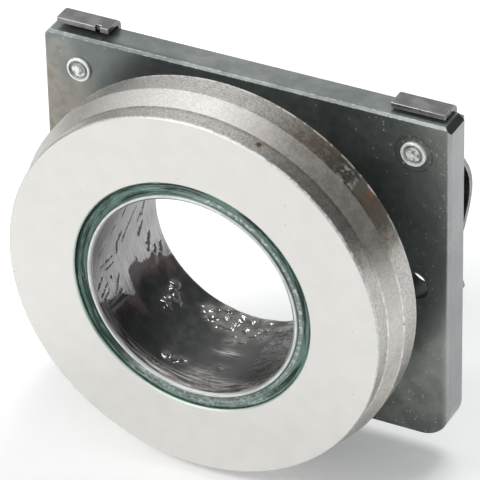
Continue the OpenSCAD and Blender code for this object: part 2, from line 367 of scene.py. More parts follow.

# %% [markdown]
# ## Stains, painted shade and painted highlights on the ring
# The ring's upper right side is stained brown, most of all on the rear band, and a painted shade lies low on
# the right, standing in for the plate's dark reflection. A dark painted shade runs along the back of the nose
# on the upper half, and the bands' borders are painted highlights, pale lines on the lower half. The stain
# and the painted shade multiply the steel's own tone, as a thin film of oil would.

# %% Ring: stains, painted shade and painted highlights
oil_and_shade_tint = (0.48, 0.43, 0.37, 1)
highlight_pale = (0.92, 0.91, 0.89, 1)
seam_shade_tone = (0.25, 0.225, 0.195, 1)
stain_and_shade = blot(tree, (25.0, -12.0, 21.5), radius=24.0, ragged=0.25, grain=220.0)
stain_and_shade = times(tree, stain_and_shade, fade(tree, on_band, 0.55, 1.0), fade(tree, on_cone, 1.0, 0.9))
border = plus(tree, z, times(tree, haze, 1.2 * mm))
stain_and_shade = times(tree, stain_and_shade, between(tree, border, 12.5, 16.5, 0.15, 1.0))
# Painted shade low on the right, standing in for the plate's dark reflection; it is added to the stain mask.
low_right_shade = blot(tree, (32.5, -12.0, -13.5), radius=17.0, ragged=0.3, grain=260.0)
stain_and_shade = most(tree, stain_and_shade, times(tree, low_right_shade, 0.38))
stain_and_shade = calc(tree, "MULTIPLY", stain_and_shade, fade(tree, dirt_and_light_breakup, 0.70, 1.15), clamp=True)
side_tone = mixed(tree, stain_and_shade, side_tone, oil_and_shade_tint, blend="MULTIPLY")
high = between(tree, z, 8.0, 16.0)
# Painted highlights: the bands' borders are pale lines on the lower half only.
highlight_lines = []
for edge in (nose_back, cone_back):
    away = calc(tree, "ABSOLUTE", less(tree, y, edge * mm))
    highlight_lines.append(between(tree, away, 0.30, 0.12))
border_highlight = times(tree, most(tree, *highlight_lines), rest(tree, high), ranged(tree, dirt_and_light_breakup, 0.2, 0.9, 0.1, 0.55))
side_tone = mixed(tree, border_highlight, side_tone, highlight_pale)
# Painted shade along the back of the nose, on the upper half only.
seam_shade = times(tree, between(tree, y, -17.6, -16.8), between(tree, y, -16.5, -16.7), high)
seam_shade = times(tree, seam_shade, fade(tree, dirt_and_light_breakup, 0.35, 0.7))
side_tone = mixed(tree, seam_shade, side_tone, seam_shade_tone)
print("ring stains ready")

# %% [markdown]
# ## Rust and rubbed spots on the ring
# A brown patch on the rear band holds darker rust, a touch of orange and a scuffed pale spot. A single
# rust dot sits on the nose, a few pits are strewn over all, the edges are rubbed, and the face's hole has a
# painted reflection of the green seal on its edge. Rust, the dot and the scuffs are kept as masks, since they
# are dull.

# %% Ring: rust, pits and scuffs
brown_oil = (0.165, 0.150, 0.118, 1)
dark_rust = (0.075, 0.055, 0.036, 1)
rubbed_steel = (0.86, 0.85, 0.83, 1)
seal_reflection_green = (0.42, 0.58, 0.51, 1)
pit_dark = (0.16, 0.145, 0.13, 1)
dot_rust = (0.065, 0.030, 0.013, 1)
fresh_rust = (0.24, 0.085, 0.025, 1)
scuffed_grey = (0.35, 0.36, 0.39, 1)
brown = blot(tree, (26.8, -11.2, 22.3), radius=9.8, ragged=0.22, grain=300.0)
brown = times(tree, brown, on_band, fade(tree, dirt_and_light_breakup, 0.65, 0.95))
side_tone = mixed(tree, brown, side_tone, brown_oil)
rusty = blot(tree, (28.4, -9.8, 20.3), radius=4.8, ragged=0.6, grain=420.0)
rusty = most(tree, rusty, blot(tree, (26.2, -11.2, 23.1), radius=3.0, ragged=0.8, grain=500.0))
rusty = times(tree, rusty, ranged(tree, dirt_and_light_breakup, 0.15, 0.75, 0.35, 1.0))
side_tone = mixed(tree, times(tree, rusty, 0.75), side_tone, dark_rust)
rubbed = use(tree, worn_edges, Width=0.22 * mm, Grain=500.0, Bare=0.55)
side_tone = mixed(tree, times(tree, rubbed, 0.6), side_tone, rubbed_steel)
tone = mixed(tree, on_face, side_tone, face_tone)
# Painted reflection of the green seal on the edge of the face's hole.
tone = mixed(tree, between(tree, out, 21.60, 21.40, 0.0, 0.7), tone, seal_reflection_green)
pits = use(tree, specks, Scale=520.0, Size=0.15, Share=0.06)
pits = times(tree, pits, less(tree, 0.8, times(tree, on_face, 0.55)))
tone = mixed(tree, pits, tone, pit_dark)
dot = blot(tree, (11.76, -17.8, 31.26), radius=0.8, ragged=0.5, grain=1500.0)
tone = mixed(tree, dot, tone, dot_rust)
orange = times(tree, blot(tree, (27.9, -9.4, 21.1), radius=3.0, ragged=1.0, grain=900.0), scuffs)
tone = mixed(tree, times(tree, orange, 0.9), tone, fresh_rust)
pale = times(tree, blot(tree, (24.2, -11.8, 25.2), radius=2.6, ragged=0.7, grain=600.0), scuffs)
tone = mixed(tree, times(tree, pale, 0.52), tone, scuffed_grey)
print("ring rust ready")

# %% [markdown]
# ## Painted highlights on the ring's edges, and its shine
# The ring's rear edge and the face's outer edge on the right are painted as broken pale lines: painted
# highlights, on the rear edge partly scuffed wear too. The shine is that of ground steel: a metal of middling
# roughness, with faint grain and turning marks as relief. What is dull takes the metal's mirror away.

# %% Ring: painted edge highlights and shine
scuff_and_highlight = (0.70, 0.69, 0.67, 1)
rim_highlight = (0.80, 0.79, 0.80, 1)
# Painted highlight along the rear edge, partly scuffed wear.
rear_edge = times(tree, between(tree, y, -9.65, -9.30), between(tree, out, 34.3, 34.6))
rear_edge = times(tree, rear_edge, ranged(tree, dirt_and_light_breakup, 0.2, 0.8, 0.05, 0.7))
tone = mixed(tree, rear_edge, tone, scuff_and_highlight)
# Painted highlight on the face's outer edge, on the right.
right_way = plus(tree, times(tree, x, 0.8), times(tree, z, 0.6))
rim = times(tree, between(tree, y, -19.60, -19.80), between(tree, out, 31.0, 31.5), rest(tree, on_face))
rim = times(tree, rim, between(tree, right_way, 12.0, 24.0), ranged(tree, dirt_and_light_breakup, 0.1, 0.9, 0.25, 0.9))
tone = mixed(tree, rim, tone, rim_highlight)
dull = most(tree, dot, orange, pale, rusty, times(tree, rear_edge, 0.7), times(tree, rim, 0.8))
height = plus(tree, times(tree, grain, 0.5), marks)
wire(tree, shader, Base_Color=tone, Metallic=rest(tree, dull), Roughness=fade(tree, haze, 0.33, 0.40),
     Normal=relief(tree, height, depth=0.02, strength=0.3, soft_edge=0.2))
wear(steel, "thrust_ring")

# %% [markdown]
# ## Black oxide on the carrier
# The plate and its hub are one blackened iron casting. Its thin dark oxide still mirrors a little. It is
# cloudy, browned at the left, darker at the upper left, darker and mottled low on the right as painted shade
# beside the ring, and worn grey at the right. Pale grit lies on the front, thickest at the right. It is dull,
# so it takes the mirror away.

# %% Carrier: oxide tones and grit
oxide_dark = (0.195, 0.218, 0.208, 1)
oxide_light = (0.272, 0.293, 0.283, 1)
brown_haze = (0.325, 0.285, 0.240, 1)
mottle_dark = (0.13, 0.146, 0.138, 1)
blue_black = (0.125, 0.140, 0.143, 1)
low_dark = (0.062, 0.069, 0.062, 1)
low_light = (0.140, 0.137, 0.122, 1)
worn_grey = (0.40, 0.44, 0.415, 1)
side_dark = (0.305, 0.32, 0.32, 1)
side_light = (0.355, 0.368, 0.366, 1)
grit_pale = (0.52, 0.58, 0.55, 1)
oxide, tree, shader, (x, y, z) = new_finish("black_oxide")
out = axis_distance(tree, x, z)
front = calc(tree, "LESS_THAN", y, 1.2 * mm)
haze = use(tree, clouds, Scale=110.0, Detail=5.0)
mottle = use(tree, clouds, Scale=520.0, Detail=4.0, Low=0.38, High=0.66)
grain = use(tree, clouds, Scale=2400.0, Detail=3.0)
blotch = use(tree, clouds, Scale=300.0, Detail=6.0, Low=0.40, High=0.62)
tone = mixed(tree, haze, oxide_dark, oxide_light)
brown = blot(tree, (-38.0, 0.0, 10.0), radius=21.0, ragged=0.6, grain=160.0)
tone = mixed(tree, times(tree, brown, 0.75), tone, brown_haze)
tone = mixed(tree, times(tree, mottle, fade(tree, front, 0.30, 0.45)), tone, mottle_dark)
high_left = blot(tree, (-22.0, 0.0, 27.0), radius=14.0, ragged=0.6, grain=260.0)
tone = mixed(tree, times(tree, high_left, front, 0.55), tone, blue_black)
# Painted shade low on the right of the front, beside the ring.
low_right_shade = blot(tree, (31.0, 0.0, -26.0), radius=26.0, ragged=0.5, grain=260.0)
low_tone = mixed(tree, blotch, low_dark, low_light)
tone = mixed(tree, times(tree, low_right_shade, front, 0.85), tone, low_tone)
worn_right = times(tree, front, between(tree, x, 16.0, 36.2, 0.0, 0.42))
worn_right = times(tree, worn_right, between(tree, z, -24.0, -10.0, 0.45, 1.0))
tone = mixed(tree, worn_right, tone, worn_grey)
side_tone = mixed(tree, haze, side_dark, side_light)
tone = mixed(tree, between(tree, x, plate_right - 1.6, plate_right), tone, side_tone)
grit_share = times(tree, front, between(tree, x, 8.0, 36.0, 0.04, 0.50))
grit = times(tree, use(tree, specks, Scale=1700.0, Size=0.27, Share=grit_share), 0.55)
tone = mixed(tree, grit, tone, grit_pale)
print("oxide tones ready")

# %% [markdown]
# ## Worn edges, holes and the sleeve's end
# A dark ring marks the plate round the right rivet, the edges are rubbed to a pale line, the upper front
# edge is chipped, and the bevel of the upper right corner is black. The pin holes are painted dark inside as
# painted shade. The sleeve's front end is bare and bright, and its outer bevel is green from the seal's
# grease.

# %% Carrier: edges, holes and sleeve end
mark_dark = (0.10, 0.105, 0.10, 1)
rubbed_grey = (0.50, 0.52, 0.515, 1)
bare_chip = (0.86, 0.90, 0.89, 1)
corner_black = (0.085, 0.092, 0.098, 1)
hole_shade = (0.035, 0.038, 0.037, 1)
end_grey = (0.42, 0.42, 0.41, 1)
bevel_green = (0.10, 0.18, 0.15, 1)
end_bright = (0.66, 0.68, 0.67, 1)
rivet_way = axis_distance(tree, less(tree, x, rivet_x * mm), less(tree, z, rivet_z * mm))
mark = times(tree, between(tree, rivet_way, 3.0, 3.25), between(tree, rivet_way, 3.5, 3.25))
tone = mixed(tree, times(tree, mark, front, 0.45), tone, mark_dark)
rubbed = use(tree, worn_edges, Width=0.24 * mm, Grain=1300.0, Bare=0.5)
tone = mixed(tree, times(tree, rubbed, 0.6), tone, rubbed_grey)
chips = use(tree, worn_edges, Width=0.45 * mm, Grain=1100.0, Bare=0.46)
chips = times(tree, chips, front, between(tree, z, 28.8, 29.2))
tone = mixed(tree, times(tree, chips, 0.85), tone, bare_chip)
corner = between(tree, plus(tree, x, z), 65.75, 65.85)
tone = mixed(tree, corner, tone, corner_black)
pin_way = less(tree, calc(tree, "ABSOLUTE", x), pin_x * mm)
pin_way = axis_distance(tree, pin_way, less(tree, z, pin_z * mm))
# Painted shade inside the pin holes.
in_hole = calc(tree, "LESS_THAN", pin_way, 2.62 * mm)
tone = mixed(tree, in_hole, tone, hole_shade)
outer_bevel = between(tree, out, 18.88, 19.05)
flat_end = times(tree, between(tree, out, 18.45, 18.65), rest(tree, outer_bevel))
end_tone = mixed(tree, outer_bevel, end_grey, bevel_green)
end_tone = mixed(tree, times(tree, flat_end, fade(tree, mottle, 1.0, 0.55)), end_tone, end_bright)
sleeve_end = calc(tree, "LESS_THAN", y, -19.3 * mm)
tone = mixed(tree, sleeve_end, tone, end_tone)
wire(tree, shader, Base_Color=tone, Metallic=less(tree, 0.80, grit), Roughness=fade(tree, grain, 0.29, 0.38),
     Normal=relief(tree, plus(tree, grain, haze), depth=0.02, strength=0.25, soft_edge=0.2))
wear(oxide, "carrier")

# %% [markdown]
# ## Spring steel and zinc
# The fork springs are hardened strip, grey with pale rubbed edges. The rivets are pale zinc. Each staked end
# has a dark groove round a hammered centre, so the mask is the distance from the rivet's own axis.

# %% Finishes: springs and rivets
strip_dark = (0.17, 0.174, 0.174, 1)
strip_light = (0.27, 0.27, 0.266, 1)
strip_edge = (0.74, 0.74, 0.73, 1)
zinc_dark = (0.90, 0.93, 0.90, 1)
zinc_light = (0.98, 0.99, 0.98, 1)
centre_dark = (0.34, 0.36, 0.34, 1)
groove_dark = (0.16, 0.175, 0.16, 1)
strip, tree, shader, _ = new_finish("spring_steel")
haze = use(tree, clouds, Scale=320.0, Detail=5.0)
grain = use(tree, clouds, Scale=2200.0, Detail=3.0)
rubbed = use(tree, worn_edges, Width=0.3 * mm, Grain=800.0, Bare=0.6)
tone = mixed(tree, haze, strip_dark, strip_light)
tone = mixed(tree, times(tree, rubbed, 0.8), tone, strip_edge)
wire(tree, shader, Base_Color=tone, Metallic=1.0, Roughness=fade(tree, grain, 0.28, 0.42),
     Normal=relief(tree, grain, depth=0.03, strength=0.3, soft_edge=0.2))
wear(strip, "fork_spring_left", "fork_spring_right")

zinc, tree, shader, (x, y, z) = new_finish("bright_zinc")
across = less(tree, calc(tree, "ABSOLUTE", x), rivet_x * mm)
across = axis_distance(tree, across, less(tree, z, rivet_z * mm))
groove = times(tree, between(tree, across, 1.20, 1.35), between(tree, across, 1.80, 1.68))
centre = between(tree, across, 1.4, 1.2)
haze = use(tree, clouds, Scale=1400.0, Detail=3.0, Low=0.38, High=0.62)
dents = use(tree, clouds, Scale=900.0, Detail=2.0, Low=0.36, High=0.60)
tone = mixed(tree, haze, zinc_dark, zinc_light)
tone = mixed(tree, times(tree, centre, rest(tree, dents)), tone, centre_dark)
tone = mixed(tree, times(tree, groove, 0.7), tone, groove_dark)
hammered = times(tree, dents, fade(tree, centre, 0.2, 1.0))
wire(tree, shader, Base_Color=tone, Metallic=0.20, Roughness=fade(tree, haze, 0.26, 0.40),
     Normal=relief(tree, hammered, depth=0.3, strength=0.6, soft_edge=0.2))
wear(zinc, "rivets")

# %% [markdown]
# ## The bearing's inside
# The shield shows in the gap behind the ring. What lies inside, the race, the balls and the cage, is hardly
# seen. Three bearing steels differ in tone and polish alone, so one loop makes them. The cage is a tan
# plastic.

# %% Finishes: race, shield, balls and cage
tan_dark = (0.30, 0.22, 0.12, 1)
tan_light = (0.40, 0.30, 0.17, 1)
ball_names = ["ball_%02d" % number for number in range(1, 15)]
bearing_steels = [("race_steel", (0.55, 0.55, 0.54, 1), (0.66, 0.66, 0.65, 1), 0.22, ["inner_race"]),
                  ("shield_steel", (0.34, 0.34, 0.33, 1), (0.48, 0.47, 0.45, 1), 0.42, ["rear_shield"]),
                  ("ball_steel", (0.70, 0.70, 0.69, 1), (0.78, 0.78, 0.78, 1), 0.08, ball_names)]
for name, dark, light, rough, solids in bearing_steels:
    finish, tree, shader, _ = new_finish(name)
    haze = use(tree, clouds, Scale=300.0)
    marks = use(tree, axis_streaks, Around=2.0, Across=4000.0)
    wire(tree, shader, Base_Color=mixed(tree, haze, dark, light), Metallic=1.0,
         Roughness=fade(tree, haze, rough, rough + 0.1), Normal=relief(tree, marks, depth=0.01, strength=0.2))
    wear(finish, *solids)

nylon, tree, shader, _ = new_finish("cage_plastic")
grain = use(tree, clouds, Scale=1800.0)
tone = mixed(tree, grain, tan_dark, tan_light)
wire(tree, shader, Base_Color=tone, Roughness=fade(tree, grain, 0.42, 0.6),
     Normal=relief(tree, grain, depth=0.02, strength=0.4))
wear(nylon, "ball_cage")

# %% [markdown]
# ## The green seal
# Between the sleeve and the turning face lies a green seal, wiped with grease in long streaks round the
# axis. Two sets of streaks, coarse and fine, mix a dark teal with mint, and raise it a little. A third
# leaves dark marks, three places lie in shade, and the lower part and the right inner edge are pale.

# %% Finish: green seal
teal_dark = (0.003, 0.013, 0.010, 1)
teal_light = (0.135, 0.228, 0.195, 1)
mint = (0.40, 0.53, 0.48, 1)
shade_green = (0.006, 0.034, 0.025, 1)
mark_dark = (0.004, 0.014, 0.011, 1)
smear_pale = (0.52, 0.58, 0.55, 1)
edge_pale = (0.60, 0.64, 0.62, 1)
seal, tree, shader, (x, y, z) = new_finish("green_seal")
coarse = ranged(tree, use(tree, axis_streaks, Around=2.0, Across=900.0, Detail=3.0), 0.44, 0.56)
fine = ranged(tree, use(tree, axis_streaks, Around=5.0, Across=1300.0, Detail=4.0), 0.54, 0.64)
dark_marks = ranged(tree, use(tree, axis_streaks, Around=9.0, Across=800.0, Detail=4.0), 0.54, 0.62)
crumbs = use(tree, clouds, Scale=1800.0, Detail=4.0, Low=0.46, High=0.62)
smear = blot(tree, (2.0, -19.6, -21.5), radius=19.0, ragged=0.5, grain=300.0)
high_left = blot(tree, (-18.5, -19.6, 8.5), radius=12.0, ragged=0.6, grain=300.0)
low_left = blot(tree, (-18.0, -19.6, -9.5), radius=8.5, ragged=0.6, grain=300.0)
high_right = blot(tree, (18.5, -19.6, 8.0), radius=9.0, ragged=0.7, grain=300.0)
shade = most(tree, high_left, low_left, high_right)
tone = mixed(tree, coarse, teal_dark, teal_light)
tone = mixed(tree, times(tree, fine, fade(tree, crumbs, 0.5, 1.0)), tone, mint)
tone = mixed(tree, times(tree, shade, fade(tree, coarse, 0.9, 0.35)), tone, shade_green)
tone = mixed(tree, times(tree, dark_marks, fade(tree, shade, 0.45, 0.95)), tone, mark_dark)
pale = times(tree, smear, ranged(tree, plus(tree, fine, crumbs), 0.2, 1.3, 0.25, 0.95))
tone = mixed(tree, pale, tone, smear_pale)
right_way = plus(tree, times(tree, x, 0.92), times(tree, z, 0.39))
inner = plus(tree, axis_distance(tree, x, z), times(tree, coarse, 0.3 * mm))
inner = times(tree, between(tree, inner, 20.2, 19.8), between(tree, right_way, 2.0, 12.0))
tone = mixed(tree, times(tree, inner, fade(tree, crumbs, 0.45, 0.95)), tone, edge_pale)
wire(tree, shader, Base_Color=tone, Roughness=fade(tree, coarse, 0.30, 0.50), Specular_IOR_Level=0.3,
     Normal=relief(tree, plus(tree, coarse, fine), depth=0.25, strength=0.6))
wear(seal, "front_seal")

# %% [markdown]
# ## Grease in the bore
# The bore is coated with dark grease: a wet film all round, pushed into lumps low at the back and at the
# front, and wiped thin on the left, where the metal shows grey through it. The film starts as a fine open
# cylinder, cut into rings along its length and given a thin wall, so that it is a closed body.

# %% Piece: grease film
film_radius, film_front, film_back = 0.01822, -0.01965, 0.00262
film_steps, film_cuts, film_wall = 400, 79, 0.00006
film_middle = (0, (film_front + film_back) / 2, 0)
bpy.ops.mesh.primitive_cylinder_add(vertices=film_steps, radius=film_radius, depth=film_back - film_front,
                                    end_fill_type="NOTHING", location=film_middle,
                                    rotation=(math.pi / 2, 0, 0))
grease = bpy.context.object
grease.name = "bore_grease"
bpy.ops.object.transform_apply(location=True, rotation=True, scale=True)
bpy.ops.object.mode_set(mode="EDIT")
bpy.context.tool_settings.mesh_select_mode = (False, True, False)
bpy.ops.mesh.select_all(action="DESELECT")
bpy.ops.object.mode_set(mode="OBJECT")
points = grease.data.vertices
for edge in grease.data.edges:
    edge.select = abs(points[edge.vertices[0]].co.y - points[edge.vertices[1]].co.y) > mm
bpy.ops.object.mode_set(mode="EDIT")
bpy.ops.mesh.subdivide(number_cuts=film_cuts)
bpy.ops.mesh.select_all(action="SELECT")
bpy.ops.mesh.flip_normals()
bpy.ops.object.mode_set(mode="OBJECT")
wall = grease.modifiers.new("wall", "SOLIDIFY")
wall.thickness = film_wall
wall.offset = -1
bpy.ops.object.modifier_apply(modifier="wall")
print("grease film points:", len(grease.data.vertices))

# %% [markdown]
# ## Where the grease lies
# Places in the bore are given as an angle round the axis, in degrees from the right side toward the top,
# and a depth in millimetres. Lumps come in groups of one size and height, and the last two groups are broad
# swells. Strokes are short lines with a width, left in the wiped side. Its lower edge is a row of places.

# %% Places: lumps, strokes and the edge of the wiped side
lump_groups = [
    (0.75, 0.45, [(-132, -6), (-132, -5.5), (-132, -4.5), (-130, -6.5), (-130, -4.5), (-134, -3), (-131, -3),
                  (-127, -4), (-135, -1.5)]),
    (0.90, 0.55, [(-112, -0.5), (-109, -1.5), (-105, 1.5), (-103, 0), (-102, -2.5), (-97, -2.5), (-97, -1),
                  (-97, 0.5), (-96, 1.5), (-89, -1.5), (-84, -2.5), (-92, -3.5), (-91, -5.5), (-87, -4.5),
                  (-77, -3), (-90, 1.5), (-81, 1.5)]),
    (0.70, 0.44, [(-82, -1), (-78, -0.5), (-74, -0.5), (-71, -1), (-67, -1), (-63, -0.5)]),
    (0.55, 0.26, [(-114, -15), (-109, -15), (-106, -14.5), (-104, -14.5)]),
    (0.95, 0.39, [(-96, -16), (-89, -15), (-86, -16), (-86, -13.5), (-83, -17), (-94, -18.5)]),
    (2.20, 0.23, [(-131, -5), (-88, -8.5)]),
    (3.10, 0.27, [(-98, -1.5), (-95, -16), (-60, -6), (30, -5), (80, -10)])]
lumps = [(angle, y, size, height) for size, height, spots in lump_groups for angle, y in spots]
strokes = [(171, -1.5, 178, -2.5, 0.3), (177, -3, 180, -4, 0.25), (183, -2.5, 188, -4, 0.4),
           (169, -4.5, 182, -9.5, 0.2), (158, -9.5, 164, -10, 0.3), (193, -1, 200, -2.5, 0.4),
           (176, -10, 178, -10.5, 0.4), (179, -11, 181, -11.5, 0.35), (182, -11.5, 184, -11.5, 0.35),
           (166, -12.5, 168, -13.5, 0.2), (196, -12, 205, -15, 0.2), (205, -13, 205, -17, 0.25),
           (209, -12.5, 208, -17.5, 0.25), (195, -16, 199, -18.5, 0.2), (199, -16, 202, -18.5, 0.2),
           (198, -6.5, 199, -6.5, 0.3), (202, -0.5, 208, -2.5, 0.5), (203, 1, 207, 0, 0.45),
           (184, -13, 184, -17, 0.15), (188, -13, 188, -15.5, 0.15), (194, -14.5, 195, -14.5, 0.25),
           (195, -2.5, 197, -2.5, 0.2), (172, -15.5, 176, -17.5, 0.15), (190, -17, 194, -19, 0.2)]
wiped_edge = [(-20, 199), (-18.5, 202), (-16.5, 204), (-14, 205), (-11.5, 211), (-10.5, 212), (-10, 205),
              (-9.5, 199), (-7.5, 198), (-5.5, 202), (-3, 204), (-2, 202), (-1.5, 206), (0, 206), (0.5, 210),
              (1.5, 211), (3, 213)]
# Two smudges on the bore's floor, painted pale as soft highlights.
highlight_smudges = [(-88, -8.8), (-92, -15.6)]
print("lumps:", len(lumps), "strokes:", len(strokes))

# %% [markdown]
# ## Shares at each place
# Every point of the film gets a share for each of these: lump, wiped, stroke, rubbed, brushed, stained.
# They are worked out on the bore unrolled to a flat sheet. A bell curve stands for a lump or a smudge, the
# smudges being painted highlights, and a slope that stops at nought and one for everything with an edge.

# %% Helpers: shares at a place in the bore
around = math.radians(18.2)


def slope(distance, width):
    """A share that rises from nought to one over a width."""
    return min(max(distance / width, 0), 1)


def edge_at(y):
    """Angle of the wiped side's lower edge at a depth, straight between the listed places."""
    for (y0, a0), (y1, a1) in zip(wiped_edge, wiped_edge[1:]):
        if y <= y1:
            return a0 + (a1 - a0) * (y - y0) / (y1 - y0)
    return wiped_edge[-1][1]


def from_line(s, y, line):
    """Distance in mm from a short line on the unrolled bore."""
    s0, y0, s1, y1 = line
    run, rise = s1 - s0, y1 - y0
    part = slope((s - s0) * run + (y - y0) * rise, max(run * run + rise * rise, 1e-9))
    return math.hypot(s - s0 - part * run, y - y0 - part * rise)


def lump_rise(angle, y, swell_size=1.3):
    """Height of the lumps in mm, and a share that only those smaller than a swell give."""
    rise = share = 0.0
    for lump_angle, lump_y, size, height in lumps:
        if abs(y - lump_y) < 2.5 * size:
            gap = ((angle - lump_angle + 180) % 360 - 180) * around
            here = height * math.exp(-(gap ** 2 + (y - lump_y) ** 2) / size ** 2)
            rise = max(rise, here)
            share = max(share, here ** 0.5 if size < swell_size else 0)
    return rise, share


def stroke_share(angle, y, first=150, last=220):
    """One on a stroke's middle line, nought at twice its width, and only on the left."""
    if not first < angle < last:
        return 0
    return max(0, max(1 - from_line(angle * around, y, line) / (2 * width) for line, width in lines))


def smudge_highlight_share(low, y, long=2.6, wide=1.2):
    """Smudges on the bore's floor, painted pale as soft highlights."""
    spread = ((((low - a) * around / long) ** 2 + ((y - b) / wide) ** 2) for a, b in highlight_smudges)
    return max(math.exp(-away) for away in spread)


lines = [((a0 * around, y0, a1 * around, y1), width) for a0, y0, a1, y1, width in strokes]
print("mm for each degree:", round(around, 3))

# %% [markdown]
# ## Weights on the film
# Two vertex groups, on the wet side alone, say how far the next step may push each point. The six shares
# are kept as attributes, so that the finish knows which places are thick, wiped, rubbed or stained.

# %% Weights from those places
wiped_top, wiped_soft = 122, 1.2
margin_y, margin_bulge, margin_angle, margin_width = -16.8, 2.6, -84, 22
margin_from, margin_soft = -165, 2.4
wall_from, wall_to, brush_to, angle_soft = -72, 120, 95, 20
lip_y, lip_from, lip_to = -19.3, -25, 125
stain_shift, stain_width = 3, 13
full_lump, full_share, wet_side = 0.7, 0.55, 18.25
thick = grease.vertex_groups.new(name="thick")
wet = grease.vertex_groups.new(name="wet")
shares = {"lump": [], "wiped": [], "stroke": [], "rubbed": [], "brushed": [], "stained": []}
for point in grease.data.vertices:
    x, y, z = (1000 * c for c in point.co)
    angle = math.degrees(math.atan2(z, x)) % 360
    low = angle - 360 if angle > 180 else angle
    rise, small_rise = lump_rise(angle, y)
    wiped = min(max(0.5 + min(angle - wiped_top, edge_at(y) - angle) * around / wiped_soft, 0), 1)
    stroke = stroke_share(angle, y)
    reach = margin_y + margin_bulge * math.exp(-((low - margin_angle) / margin_width) ** 2)
    margin = slope(reach - y, margin_soft) * slope(low - margin_from, angle_soft)
    wall_side = slope(low - wall_from, angle_soft) * slope(wall_to - low, angle_soft)
    front_lip = y < lip_y and lip_from < low < lip_to
    shares["lump"].append(min(small_rise / full_share, 1))
    shares["wiped"].append(1.0 if front_lip else wiped)
    shares["stroke"].append(stroke * wiped)
    stain_way = abs(angle - edge_at(y) - stain_shift)
    shares["stained"].append(slope(stain_width - stain_way, stain_width))
    shares["brushed"].append(wall_side * slope(brush_to - low, angle_soft))
    # The rubbed share also holds the two smudges, which are painted highlights.
    shares["rubbed"].append(max(margin, 0.5 * wall_side, smudge_highlight_share(low, y)))
    if math.hypot(x, z) < wet_side:
        thick.add([point.index], min(rise + 0.10 * stroke, full_lump) / full_lump, "REPLACE")
        wet.add([point.index], 1 - 0.85 * wiped, "REPLACE")
for label, numbers in shares.items():
    grease.data.attributes.new(label, "FLOAT", "POINT").data.foreach_set("value", numbers)
print("weights:", list(shares))

# %% [markdown]
# ## Lumps and waves
# Three Displace steps push the wet side inward: the lumps' bodies, their broken surface, and long slow
# waves in the film. Each is applied at once, so the mesh holds the shape that is seen.

# %% Push the wet side inward
def push(name, group, strength, texture_size=0.0, middle=0.0):
    """One applied Displace step on the wet side."""
    step = grease.modifiers.new(name, "DISPLACE")
    step.vertex_group = group
    step.strength = strength
    step.mid_level = middle
    if texture_size:
        step.texture = bpy.data.textures.new(name, "CLOUDS")
        step.texture.noise_scale = texture_size
        step.texture_coords = "LOCAL"
    bpy.ops.object.modifier_apply(modifier=name)


push("lump_body", "thick", strength=0.6 * mm)
push("lump_breakup", "thick", strength=0.5 * mm, texture_size=1.2 * mm, middle=0.5)
push("film_waves", "wet", strength=0.14 * mm, texture_size=4.5 * mm, middle=0.25)
bpy.ops.object.shade_smooth()
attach(grease, "carrier")
print("grease box mm:", [round(1000 * c, 2) for c in grease.dimensions])

# %% [markdown]
# ## Wet grease
# Thick grease is nearly black and glossy, so its lumps show as small glints; the lumps on the right are
# painted lighter grey, partly as painted reflection. Where it is wiped or rubbed thin, the metal's grey and
# its mirror come through in streaks, two rubbed smudges low in the bore are painted highlights, and a stained
# border is reddish.
# The right wall is brushed in fine steps round the axis, which break up what it mirrors.

# %% Finish: grease
grease_dark = (0.010, 0.0115, 0.0115, 1)
grease_light = (0.017, 0.018, 0.0175, 1)
reddish = (0.060, 0.038, 0.040, 1)
lump_grey_sheen = (0.115, 0.115, 0.105, 1)
rubbed_grey = (0.42, 0.405, 0.38, 1)
wiped_dark = (0.35, 0.35, 0.345, 1)
wiped_light = (0.45, 0.45, 0.445, 1)
stroke_black = (0.010, 0.010, 0.011, 1)
wet_black, tree, shader, (x, y, z) = new_finish("wet_grease")
lump, wiped, stroke, rubbed, brushed, stained = (
    place(tree, "ShaderNodeAttribute", attribute_name=label).outputs["Fac"] for label in shares)
haze = use(tree, clouds, Scale=420.0, Detail=4.0)
fine = use(tree, clouds, Scale=1500.0, Detail=3.0)
ridges = use(tree, clouds, Scale=820.0, Detail=1.0, Low=0.25, High=0.75)
wipes = use(tree, axis_streaks, Around=5.0, Across=500.0, Detail=4.0)
brush = use(tree, axis_streaks, Around=2.5, Across=520.0, Detail=2.0)
uneven = less(tree, fine, 0.5)
thin = ranged(tree, plus(tree, wiped, times(tree, uneven, 0.25)), 0.30, 0.72)
drawn = ranged(tree, plus(tree, stroke, times(tree, uneven, 0.45)), 0.46, 0.60)
streaky = times(tree, rubbed, ranged(tree, wipes, 0.38, 0.60))
shown = times(tree, streaky, rubbed)
tone = mixed(tree, haze, grease_dark, grease_light)
tone = mixed(tree, times(tree, stained, fade(tree, haze, 0.4, 1.0)), tone, reddish)
# The lumps at the right are painted lighter grey, partly a painted reflection of the light on their many
# slopes.
lump_sheen_share = times(tree, lump, between(tree, x, -10.5, -7.5, 0.2, 0.65))
tone = mixed(tree, lump_sheen_share, tone, lump_grey_sheen)
